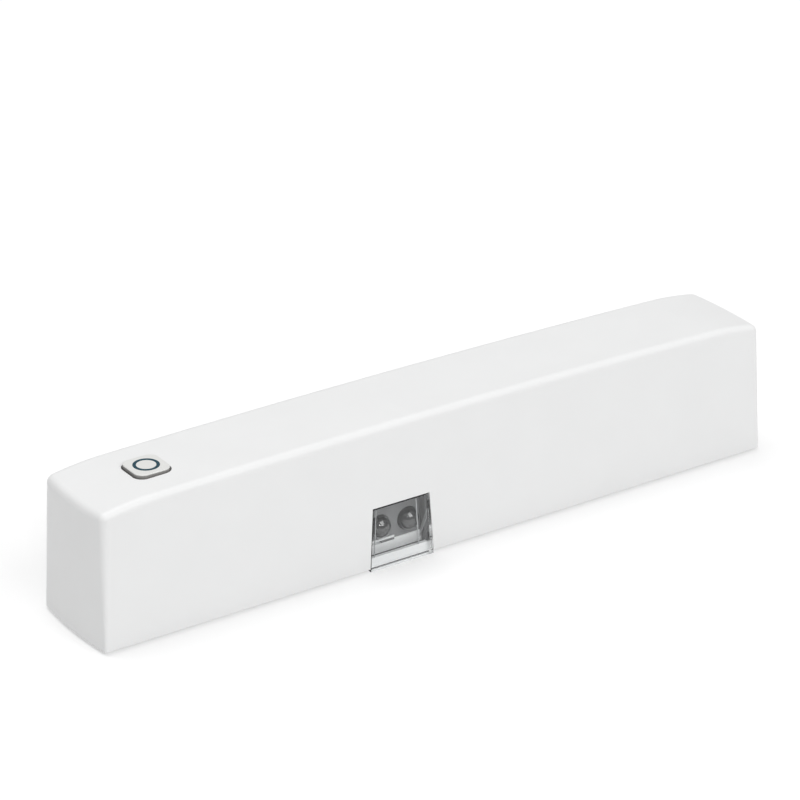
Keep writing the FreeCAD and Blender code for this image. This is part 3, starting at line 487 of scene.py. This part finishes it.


def window_shade_strips():
    """Dark strips of painted shade: a band at the tongue's end, a line behind the pane's foot and a line
    on the lip.
    """
    low, high = span("sensor_window")
    tongue = (high.y + 0.01, high.y + 0.08), (high.z - 0.38, high.z - 0.02)
    foot = (LIP_FRONT - 0.04, LIP_FRONT - 0.005), (low.z + 0.01, low.z + 0.09)
    bm = bmesh.new()
    block(bm, around(WINDOW_X, 3.75), *tongue, 0.01)
    block(bm, around(WINDOW_X, 4.45), *foot, 0.01)
    bar(bm, (low.x + 0.5, SHADE_LINE_Y, SHADE_LINE_Z), (high.x - 0.6, SHADE_LINE_Y, SHADE_LINE_Z), 0.1, 0.12)
    piece("window_shade_strips", bm, "painted_shade_black", "unit")


def slit_shade_strip():
    """Grey strip of painted shade at the open end of the sill's slit."""
    right = WINDOW_X + 0.32
    bm = bmesh.new()
    block(bm, (right - 1.9, right), SHADE_STRIP_Y, SHADE_STRIP_Z, 0.01)
    piece("slit_shade_strip", bm, "baffle_grey", "unit")


def window_painted_highlights():
    """Pale pieces of painted light inside the window: an upright bar near each side as a painted
    highlight line, and a slanting web as a painted streak of light.
    """
    right = span("sensor_window")[1].x - 1.68
    left = WINDOW_X - 3.65
    wall = span("sensor_holder")[1].x - 0.66
    bm = bmesh.new()
    bar(bm, (right - 0.44, HIGHLIGHT_Y, HIGHLIGHT_TOP), (right, HIGHLIGHT_Y, HIGHLIGHT_FOOT), 0.12, 0.1)
    bar(bm, (left + 0.3, HIGHLIGHT_Y, HIGHLIGHT_TOP), (left, HIGHLIGHT_Y, HIGHLIGHT_FOOT), 0.09, 0.1)
    outline = [(HIGHLIGHT_Y, 5.9), (HIGHLIGHT_Y, 4.7), (-4.9, 1.5), (-4.9, 2.5)]
    strip(bm, [[vertex(bm, Vector((x, y, z))) for y, z in outline] for x in (wall - 0.02, wall + 0.06)])
    piece("window_painted_highlights", bm, "painted_highlight_grey", "unit")


# ---- board detail ----

BOARD_TOP = span("main_board")[1].z
RADIO_TOP = span("radio_board")[1].z
FILM = 0.03                          # thickness of a track
LAND = 0.045                         # thickness of a tinned land
INK, STROKE = 0.02, 0.1              # thickness and width of the screen print
CHIP_X = -29.5                       # middle of the microcontroller along the board
CHIP_PINS = [-2.8 + 0.8 * i for i in range(8)]
CHIP_ROW = 4.98                      # distance from the board's middle to the rows of small chips
PRINT_EDGE = 5.3                     # limit of Y for the small chips' lands and the printed outlines
SMALL_CHIPS = ("ceramic_capacitors", "resistors")


def track(bm, points, width, base=BOARD_TOP):
    """A copper track on a board's face."""
    ribbon(bm, points, width, base, base + FILM)


def land(bm, x, y):
    """A tinned land on the main board."""
    block(bm, x, y, (BOARD_TOP, BOARD_TOP + LAND), 0.01)


def converter_pins():
    """The stretches along X of the step-up converter's three leads on each side."""
    low = span("boost_converter")[0]
    return [(low.x + 0.25 + 0.95 * i, low.x + 0.65 + 0.95 * i) for i in range(3)]


def board_traces():
    """Copper tracks under the solder mask."""
    chip_low, chip_high = span("microcontroller_leads")
    bm = bmesh.new()
    for i, y in enumerate(CHIP_PINS):
        reach = 0.5 + 0.45 * (i % 2)
        track(bm, [(chip_low.x - 0.1, y), (chip_low.x - reach, y)], 0.16)
    for x in CHIP_PINS:
        for side in (-1, 1):
            track(bm, [(CHIP_X + x, side * 2.9), (CHIP_X + x, side * 3.6)], 0.16)
    signals = [
        [(chip_high.x, 2.0), (-24.4, 2.0), (-24.1, 2.15), (-20.8, 2.15), (-20.4, 1.9)],
        [(chip_high.x, 1.2), (-24.5, 1.2), (-24.1, 0.9), (-23.8, 0.9)],
        [(chip_high.x, 0.4), (-24.5, 0.4), (-24.3, 0.1), (-23.8, 0.1)],
        [(chip_high.x, -0.4), (-24.6, -0.4), (-24.0, -1.05), (-20.4, -1.05)],
        [(chip_low.x - 0.5, -2.8), (-35.0, -3.3), (-35.0, -4.2), (-36.6, -CHIP_ROW)],
        [(chip_low.x - 0.5, 2.8), (-35.0, 3.3), (-35.6, 4.3), (-38.0, 4.3)],
        [(-40.0, 4.3), (-41.4, 4.3), (-42.4, 3.4), (-42.4, -3.8), (-41.3, -CHIP_ROW)],
        [(-39.9, -CHIP_ROW), (-38.1, -CHIP_ROW)],
        [(-12.6, -3.2), (-12.1, -2.9), (-11.4, -2.9)],
        [(-12.6, 3.6), (-12.1, 4.1), (-12.1, CHIP_ROW), (-11.7, CHIP_ROW)],
        [(-10.6, CHIP_ROW), (-8.6, CHIP_ROW)],
        [(-10.62, 2.2), (-11.6, 3.1), (-12.6, 3.1)],
        [(-8.08, 2.2), (-8.08, 3.4), (-8.6, 3.9), (-12.6, 3.9)],
        [(-6.1, 2.2), (-6.1, 0.9), (-6.7, 0.3), (-12.0, 0.3), (-12.6, -0.3)],
        [(-25.2, CHIP_ROW), (-24.9, CHIP_ROW), (-24.7, 4.5)],
        [(-25.2, -CHIP_ROW), (-24.6, -CHIP_ROW), (-24.3, -4.9)],
    ]
    power = [
        [(-7.4, -2.9), (-6.8, -2.9), (-5.8, -0.9)],
        [(-3.0, -1.2), (-2.2, -1.2), (-2.2, -3.6), (-2.7, -3.6)],
        [(-3.6, 2.2), (-2.9, 2.9), (-2.9, 4.0), (-2.3, 4.0)],
        [(-3.0, -0.6), (-2.6, 0.2), (-2.3, 0.5)],
    ]
    for routes, width in ((signals, 0.2), (power, 0.7)):
        for route in routes:
            track(bm, route, width)
    piece("board_traces", bm, "mask_copper", "unit")


def board_vias():
    """Plated holes that take tracks to the other side."""
    bm = bmesh.new()
    low = span("microcontroller_leads")[0]
    places = [(low.x - 0.62 - 0.45 * (i % 2), y) for i, y in enumerate(CHIP_PINS)]
    places += [(-36.6, -CHIP_ROW), (-24.7, 4.4), (-20.75, -1.05), (-12.3, -3.4), (-7.3, CHIP_ROW),
               (-2.9, 1.6), (-1.6, -2.2), (-1.6, -2.9), (-1.6, -3.6), (-1.6, -4.3),
               (-35.2, 4.9), (-34.4, 4.3), (-34.4, -4.2), (-42.4, 0.0)]
    for x, y in places:
        ring(bm, (x, y, BOARD_TOP + FILM / 2), 0.12, 0.27, 0.03, 20)
    piece("board_vias", bm, "tinned", "unit")


def solder_pads():
    """Tinned lands under the leads, the chips' ends and the bigger parts, and round test points."""
    bm = bmesh.new()
    for low, high in islands("microcontroller_leads"):
        along_x = high.x - low.x > high.y - low.y
        grow_x, grow_y = (0.2, 0.04) if along_x else (0.04, 0.2)
        land(bm, (low.x - grow_x, high.x + grow_x), (low.y - grow_y, high.y + grow_y))
    for name in SMALL_CHIPS:
        for low, high in islands(name):
            for x in ends(low.x, high.x, 0.22, 0.3):
                land(bm, x, (low.y - 0.05, min(high.y + 0.05, PRINT_EDGE)))
    for name, inward in (("boost_inductor", 1.0), ("tank_capacitor", 0.7),
                         ("status_led", 0.3), ("crystal", 0.4)):
        low, high = span(name)
        for x in ends(low.x, high.x, 0.25, inward):
            land(bm, x, (low.y + 0.15, high.y - 0.15))
    low, high = span("boost_converter")
    for x in converter_pins():
        for y in ends(low.y, high.y, 0.5, 0.1):
            land(bm, x, y)
    for x, y, radius in ((-36.6, 4.9, 0.38), (-35.9, 3.2, 0.38), (-36.0, -3.9, 0.38), (-22.8, 5.15, 0.2),
                         (-9.6, 3.9, 0.38), (-5.1, 4.6, 0.38), (-5.1, 3.3, 0.38)):
        disc(bm, (x, y, BOARD_TOP), radius, LAND)
    piece("solder_pads", bm, "tinned", "unit")


def screen_print():
    """White outlines round the parts, with a dot at the first pin. No lettering."""
    bm = bmesh.new()
    height = (BOARD_TOP + FILM, BOARD_TOP + FILM + INK)
    for name, gap in (("boost_inductor", 0.42), ("tank_capacitor", 0.36), ("tamper_switch_body", 0.12),
                      ("crystal", 0.3)):
        x, y = outset(*span(name), gap)
        frame_line(bm, x, (max(y[0], -PRINT_EDGE), min(y[1], PRINT_EDGE)), STROKE, *height)
    low, high = span("microcontroller")
    for x, y in ((-1, -1), (-1, 1), (1, -1), (1, 1)):
        at = (high.x if x > 0 else low.x, high.y if y > 0 else low.y)
        ribbon(bm, [(at[0] - 0.45 * x, at[1]), at, (at[0], at[1] - 0.45 * y)], STROKE, *height)
    low, high = span("radio_board")
    ribbon(bm, [(low.x - 0.25, -4.9), (low.x - 0.25, 4.9)], STROKE, *height)
    ribbon(bm, [(high.x + 0.25, -4.9), (high.x + 0.25, 2.4)], STROKE, *height)
    for x, y in ((-34.4, 3.55), (-6.6, 0.2), (-37.4, 3.6)):
        disc(bm, (x, y, height[0]), 0.16, INK)
    piece("screen_print", bm, "print_white", "unit")


def solder_joints():
    """Cones of solder round the leads that pass through the board and along the contact tabs."""
    bm = bmesh.new()
    for low, high in islands("sensor_leads"):
        at = ((low.x + high.x) / 2, high.y - 0.25, BOARD_TOP)
        lathe(bm, at, [(0, 0), (0.72, 0), (0.7, 0.05), (0.5, 0.2), (0.38, 0.42), (0.36, 0.55), (0, 0.6)])
    antenna_foot = (-13.2, 1.6, RADIO_TOP)
    lathe(bm, antenna_foot, [(0, 0), (0.75, 0), (0.72, 0.07), (0.52, 0.22), (0.38, 0.5), (0, 0.56)])
    for y in ((-1.2, 1.2), (3.3, 4.8)):
        block(bm, (-2.75, -2.15), y, (BOARD_TOP, BOARD_TOP + 0.24), 0.11)
    piece("solder_joints", bm, "solder", "unit")


def chip_ends():
    """Plated ends of the capacitors and resistors."""
    bm = bmesh.new()
    for name in SMALL_CHIPS:
        for low, high in islands(name):
            for x in ends(low.x, high.x, 0.015, 0.2):
                block(bm, x, (low.y - 0.012, high.y + 0.012), (BOARD_TOP + 0.02, high.z + 0.012), 0.03)
    piece("chip_ends", bm, "tinned", "unit")


def chip_marks():
    """Moulding dimples that show each package's first pin."""
    bm = bmesh.new()
    low, high = span("microcontroller")
    disc(bm, (low.x + 0.8, high.y - 0.8, high.z - 0.005), 0.36, 0.02)
    ring(bm, (high.x - 1.5, low.y + 1.5, high.z - 0.01), 0.5, 0.62, 0.02, 32)
    low, high = span("boost_converter")
    disc(bm, (low.x + 0.35, low.y + 0.35, high.z - 0.005), 0.13, 0.02)
    piece("chip_marks", bm, "polished_black", "unit")


def converter_leads():
    """Gull-wing leads of the step-up converter: each has a shoulder, a riser and a foot."""
    bm = bmesh.new()
    low, high = span("boost_converter")
    shoulder = ends(low.y, high.y, 0.22, 0.02)
    riser = ends(low.y, high.y, 0.24, -0.12)
    foot = ends(low.y, high.y, 0.42, -0.12)
    for x in converter_pins():
        for side in (0, 1):
            block(bm, x, shoulder[side], (BOARD_TOP + 0.45, BOARD_TOP + 0.57), 0.02)
            block(bm, x, riser[side], (BOARD_TOP + 0.05, BOARD_TOP + 0.57), 0.02)
            block(bm, x, foot[side], (BOARD_TOP + 0.04, BOARD_TOP + 0.16), 0.02)
    piece("converter_leads", bm, "tinned", "unit")


def inductor_feet():
    """The coil's plated feet."""
    low, high = span("boost_inductor")
    bm = bmesh.new()
    for x in ends(low.x, high.x, 0.05, 0.7):
        block(bm, x, around(middle("boost_inductor").y, 1.3), (BOARD_TOP + 0.02, BOARD_TOP + 0.35), 0.05)
    piece("inductor_feet", bm, "tinned", "unit")


def inductor_seam():
    """The resin seam round the coil's core, and the turned rings on top of it."""
    mid, high = middle("boost_inductor"), span("boost_inductor")[1]
    bm = bmesh.new()
    ring(bm, (mid.x, mid.y, high.z - 0.02), 1.42, 1.6, 0.035)
    for i in range(4):
        ring(bm, (mid.x, mid.y, high.z - 0.01), 0.3 + 0.24 * i, 0.5 + 0.24 * i, 0.02 + 0.004 * (i % 2))
    piece("inductor_seam", bm, "resin", "unit")


def polarity_bar():
    """The printed bar at the tank capacitor's positive end."""
    low, high = span("tank_capacitor")
    bm = bmesh.new()
    across = (low.y + 0.12, high.y - 0.12)
    block(bm, (low.x + 0.35, low.x + 0.95), across, (high.z - 0.01, high.z + 0.015), 0.006)
    piece("polarity_bar", bm, "brown_print", "unit")


def tank_tabs():
    """The tank capacitor's end tabs."""
    low, high = span("tank_capacitor")
    bm = bmesh.new()
    for x in ends(low.x, high.x, 0.09, 0.03):
        block(bm, x, (low.y + 0.3, high.y - 0.3), (BOARD_TOP + 0.02, BOARD_TOP + 1.0), 0.03)
    piece("tank_tabs", bm, "tinned", "unit")


def lamp_phosphor():
    """The status lamp's phosphor window."""
    mid, high = middle("status_led"), span("status_led")[1]
    bm = bmesh.new()
    block(bm, around(mid.x, 0.38), around(mid.y, 0.27), around(high.z, 0.02), 0.015)
    piece("lamp_phosphor", bm, "phosphor", "unit")


def lamp_ends():
    """The status lamp's plated ends."""
    low, high = span("status_led")
    bm = bmesh.new()
    for x in ends(low.x, high.x, 0.02, 0.16):
        block(bm, x, (low.y - 0.01, high.y + 0.01), (BOARD_TOP + 0.02, BOARD_TOP + 0.4), 0.03)
    piece("lamp_ends", bm, "tinned", "unit")


def crystal_seam():
    """The welded seam round the crystal's lid."""
    low, high = span("crystal")
    bm = bmesh.new()
    frame_line(bm, *outset(low, high, -0.25), 0.09, high.z - 0.01, high.z + 0.02)
    piece("crystal_seam", bm, "crystal_can", "unit")


# ---- radio module detail ----

def radio_edge_pads():
    """Plated half-holes along the radio module's edges."""
    low, high = span("radio_board")
    bm = bmesh.new()
    for i in range(7):
        x = low.x + 0.75 + 1.05 * i
        for y in ends(low.y, high.y, 0.04, 0.5):
            block(bm, around(x, 0.28), y, (BOARD_TOP + 0.02, RADIO_TOP + 0.02), 0.05)
    piece("radio_edge_pads", bm, "gold", "unit")


def radio_feed_line():
    """The radio module's line to the antenna, and three short tracks beside the can."""
    bm = bmesh.new()
    track(bm, [(-13.9, -0.6), (-13.45, -0.2), (-13.2, 0.3), (-13.2, 1.2)], 0.34, RADIO_TOP)
    for y in (-3.9, -3.0, -2.1):
        track(bm, [(-13.9, y), (-13.0, y)], 0.2, RADIO_TOP)
    piece("radio_feed_line", bm, "blue_copper", "unit")


def radio_can_vent_shade():
    """Dark discs of painted shade on the top of the radio's can, where its vent holes are."""
    mid, high = middle("radio_shield"), span("radio_shield")[1]
    pitch = 1.6
    bm = bmesh.new()
    for i in range(3):
        for j in range(4):
            at = (mid.x + pitch * (i - 1), mid.y + pitch * (j - 1.5), high.z - 0.004)
            # each disc is painted shade in place of a vent hole
            disc(bm, at, 0.22, 0.012)
    piece("radio_can_vent_shade", bm, "polished_black", "unit")


def radio_can_fold():
    """The fold round the can's wall and the raised line on its lid."""
    low, high = span("radio_shield")
    bm = bmesh.new()
    frame_line(bm, *outset(low, high, 0.02), 0.06, RADIO_TOP + 0.5, RADIO_TOP + 0.6)
    frame_line(bm, *outset(low, high, -0.5), 0.08, high.z - 0.01, high.z + 0.025)
    piece("radio_can_fold", bm, "shield_tin", "unit")


# ---- switch detail ----

def switch_rivets():
    """The push switch's four plastic rivets."""
    mid, high = middle("tact_switch_plate"), span("tact_switch_plate")[1]
    head = [(0, 0), (0.38, 0), (0.36, 0.09), (0.2, 0.16), (0, 0.18)]
    bm = bmesh.new()
    for x in around(mid.x, 2.35):
        for y in around(mid.y, 2.35):
            lathe(bm, (x, y, high.z - 0.01), head)
    piece("switch_rivets", bm, "switch_black", "unit")


def switch_legs():
    """The legs of the push switch and of the tamper switch."""
    low, high = span("tact_switch_plate")
    mid = middle("tact_switch_plate")
    bm = bmesh.new()
    for x in (mid.x - 1.8, mid.x + 1.1):
        for shank, foot in zip(ends(low.y, high.y, 0.14, 0.03), ends(low.y, high.y, 0.8, -0.02)):
            block(bm, (x, x + 0.7), shank, (BOARD_TOP + 0.05, BOARD_TOP + 1.1), 0.04)
            block(bm, (x, x + 0.7), foot, (BOARD_TOP + 0.02, BOARD_TOP + 0.18), 0.04)
    low, high = span("tamper_switch_body")
    for x in ends(low.x, high.x, 0.42, 0.02):
        for y in (low.y + 1.45, low.y + 2.0):
            block(bm, x, (y, y + 0.35), (BOARD_TOP + 0.02, BOARD_TOP + 0.2), 0.04)
    piece("switch_legs", bm, "tinned", "unit")


def tamper_cover():
    """The tamper switch's collar and the raised edge of its cover."""
    low, high = span("tamper_switch_body")
    mid = middle("tamper_switch_body")
    bm = bmesh.new()
    ring(bm, (mid.x, mid.y, high.z - 0.01), 0.8, 1.02, 0.06)
    frame_line(bm, *outset(low, high, -0.12), 0.12, high.z - 0.01, high.z + 0.05)
    piece("tamper_cover", bm, "shield_tin", "unit")


# ---- battery detail ----

CELL_LOW, CELL_HIGH = span("battery_cell")
CELL_RADIUS = (CELL_HIGH.z - CELL_LOW.z) / 2
CELL_AXIS = (middle("battery_cell").y, middle("battery_cell").z)
MARK_ANGLES = (-50, 0, 50)
MARK_HALF, STEM_HALF = 0.9, 0.2      # half the reach of a sign round the sleeve, and half its stroke


def cell_band(bm, x):
    """A thin band all round the cell."""
    tube_patch(bm, x, (0, 360), (CELL_RADIUS - 0.02, CELL_RADIUS + 0.015), CELL_AXIS, 96)


def sleeve_mark(bm, x, angle, half, proud, steps):
    """A printed patch on the sleeve, with half its width in millimetres along the curve."""
    reach = math.degrees(half / CELL_RADIUS)
    tube_patch(bm, x, around(angle, reach), (CELL_RADIUS, CELL_RADIUS + proud), CELL_AXIS, steps)


def sleeve_band():
    """The broad band at the sleeve's positive end."""
    bm = bmesh.new()
    cell_band(bm, (CELL_LOW.x + 1.6, CELL_LOW.x + 9.5))
    piece("sleeve_band", bm, "sleeve_gold", "unit")


def sleeve_lines():
    """Three thin lines round the sleeve."""
    bm = bmesh.new()
    for x in (CELL_LOW.x + 10.1, CELL_LOW.x + 11.0, CELL_HIGH.x - 3.4):
        cell_band(bm, (x, x + 0.35))
    piece("sleeve_lines", bm, "sleeve_gold", "unit")


def sleeve_plus():
    """Plus signs at the positive end."""
    bm = bmesh.new()
    for angle in MARK_ANGLES:
        sleeve_mark(bm, (CELL_LOW.x + 4.2, CELL_LOW.x + 6.0), angle, STEM_HALF, 0.03, 3)
        sleeve_mark(bm, (CELL_LOW.x + 4.9, CELL_LOW.x + 5.3), angle, MARK_HALF, 0.034, 8)
    piece("sleeve_plus", bm, "sleeve_ink", "unit")


def sleeve_minus():
    """Minus signs at the negative end."""
    bm = bmesh.new()
    for angle in MARK_ANGLES:
        sleeve_mark(bm, (CELL_HIGH.x - 6.6, CELL_HIGH.x - 6.2), angle, MARK_HALF, 0.03, 8)
    piece("sleeve_minus", bm, "sleeve_gold", "unit")


def cell_shoulders():
    """The bare steel shoulders at both ends of the cell."""
    bm = bmesh.new()
    for x in ends(CELL_LOW.x, CELL_HIGH.x, -0.62, 1.2):
        cell_band(bm, x)
    piece("cell_shoulders", bm, "cell_steel", "unit")


for make in (
        button_print, window_shade_strips, slit_shade_strip, window_painted_highlights,
        board_traces, board_vias, solder_pads, screen_print, solder_joints,
        chip_ends, chip_marks, converter_leads, inductor_feet, inductor_seam,
        polarity_bar, tank_tabs, lamp_phosphor, lamp_ends, crystal_seam,
        radio_edge_pads, radio_feed_line, radio_can_vent_shade, radio_can_fold,
        switch_rivets, switch_legs, tamper_cover,
        sleeve_band, sleeve_lines, sleeve_plus, sleeve_minus, cell_shoulders):
    make()


# ---- stage, light and camera ----

def stage():
    """A plain pale floor, just under the part."""
    floor = bpy.data.objects.new("floor", bpy.data.meshes.new("floor"))
    bm = bmesh.new()
    bmesh.ops.create_grid(bm, x_segments=2, y_segments=2, size=6.0)
    bm.to_mesh(floor.data)
    bm.free()
    floor.location.z = -0.05 * MM
    paper = shader("floor_paper", (0.62, 0.62, 0.62), 0.9, Specular_IOR_Level=0.1,
                   Emission_Color=(1.0, 1.0, 1.0, OPAQUE), Emission_Strength=0.33)
    blend_colors(paper, noise(paper, 60.0), (0.615, 0.615, 0.615), (0.625, 0.625, 0.625))
    floor.data.materials.append(paper)
    bpy.context.scene.collection.objects.link(floor)


def area_light(name, at, aim, side, power):
    """A square light that faces a point."""
    data = bpy.data.lights.new(name, "AREA")
    data.shape = "RECTANGLE"
    data.size = data.size_y = side
    data.energy = power
    lamp = bpy.data.objects.new(name, data)
    lamp.location = at
    lamp.rotation_euler = (Vector(aim) - Vector(at)).to_track_quat("-Z", "Y").to_euler()
    bpy.context.scene.collection.objects.link(lamp)


def light():
    """White surroundings, a broad light in front, one above, and a small one for glints on the domes."""
    world = bpy.data.worlds.new("studio")
    world.use_nodes = True
    background = world.node_tree.nodes["Background"]
    background.inputs["Color"].default_value = (1.0, 1.0, 1.0, OPAQUE)
    background.inputs["Strength"].default_value = 0.3
    bpy.context.scene.world = world
    area_light("key", at=(0.35, -1.75, 1.6), aim=(0.0, 0.0, 0.0), side=1.6, power=25.0)
    area_light("top", at=(-0.2, 0.6, 2.6), aim=(0.0, 0.0, 0.0), side=2.0, power=48.0)
    area_light("spot", at=(-0.42, -0.86, 0.62), aim=(-0.007, 0.0, 0.005), side=0.14, power=1.4)
    bpy.context.scene.view_settings.view_transform = "Standard"


def camera():
    """The viewpoint that looks down on the front and the button end."""
    data = bpy.data.cameras.new("camera")
    data.lens = 149.5
    data.sensor_width = 36.0
    data.clip_start = 0.01
    eye = bpy.data.objects.new("camera", data)
    place = Vector((-0.21246, -0.30622, 0.19196))
    target = Vector((-0.00284, 0.0, 0.01799))
    turn = (target - place).to_track_quat("-Z", "Y").to_matrix().to_4x4()
    roll = Matrix.Rotation(math.radians(0.23), 4, "Z")
    eye.matrix_world = Matrix.Translation(place) @ turn @ roll
    bpy.context.scene.collection.objects.link(eye)
    bpy.context.scene.camera = eye


stage()
light()
camera()
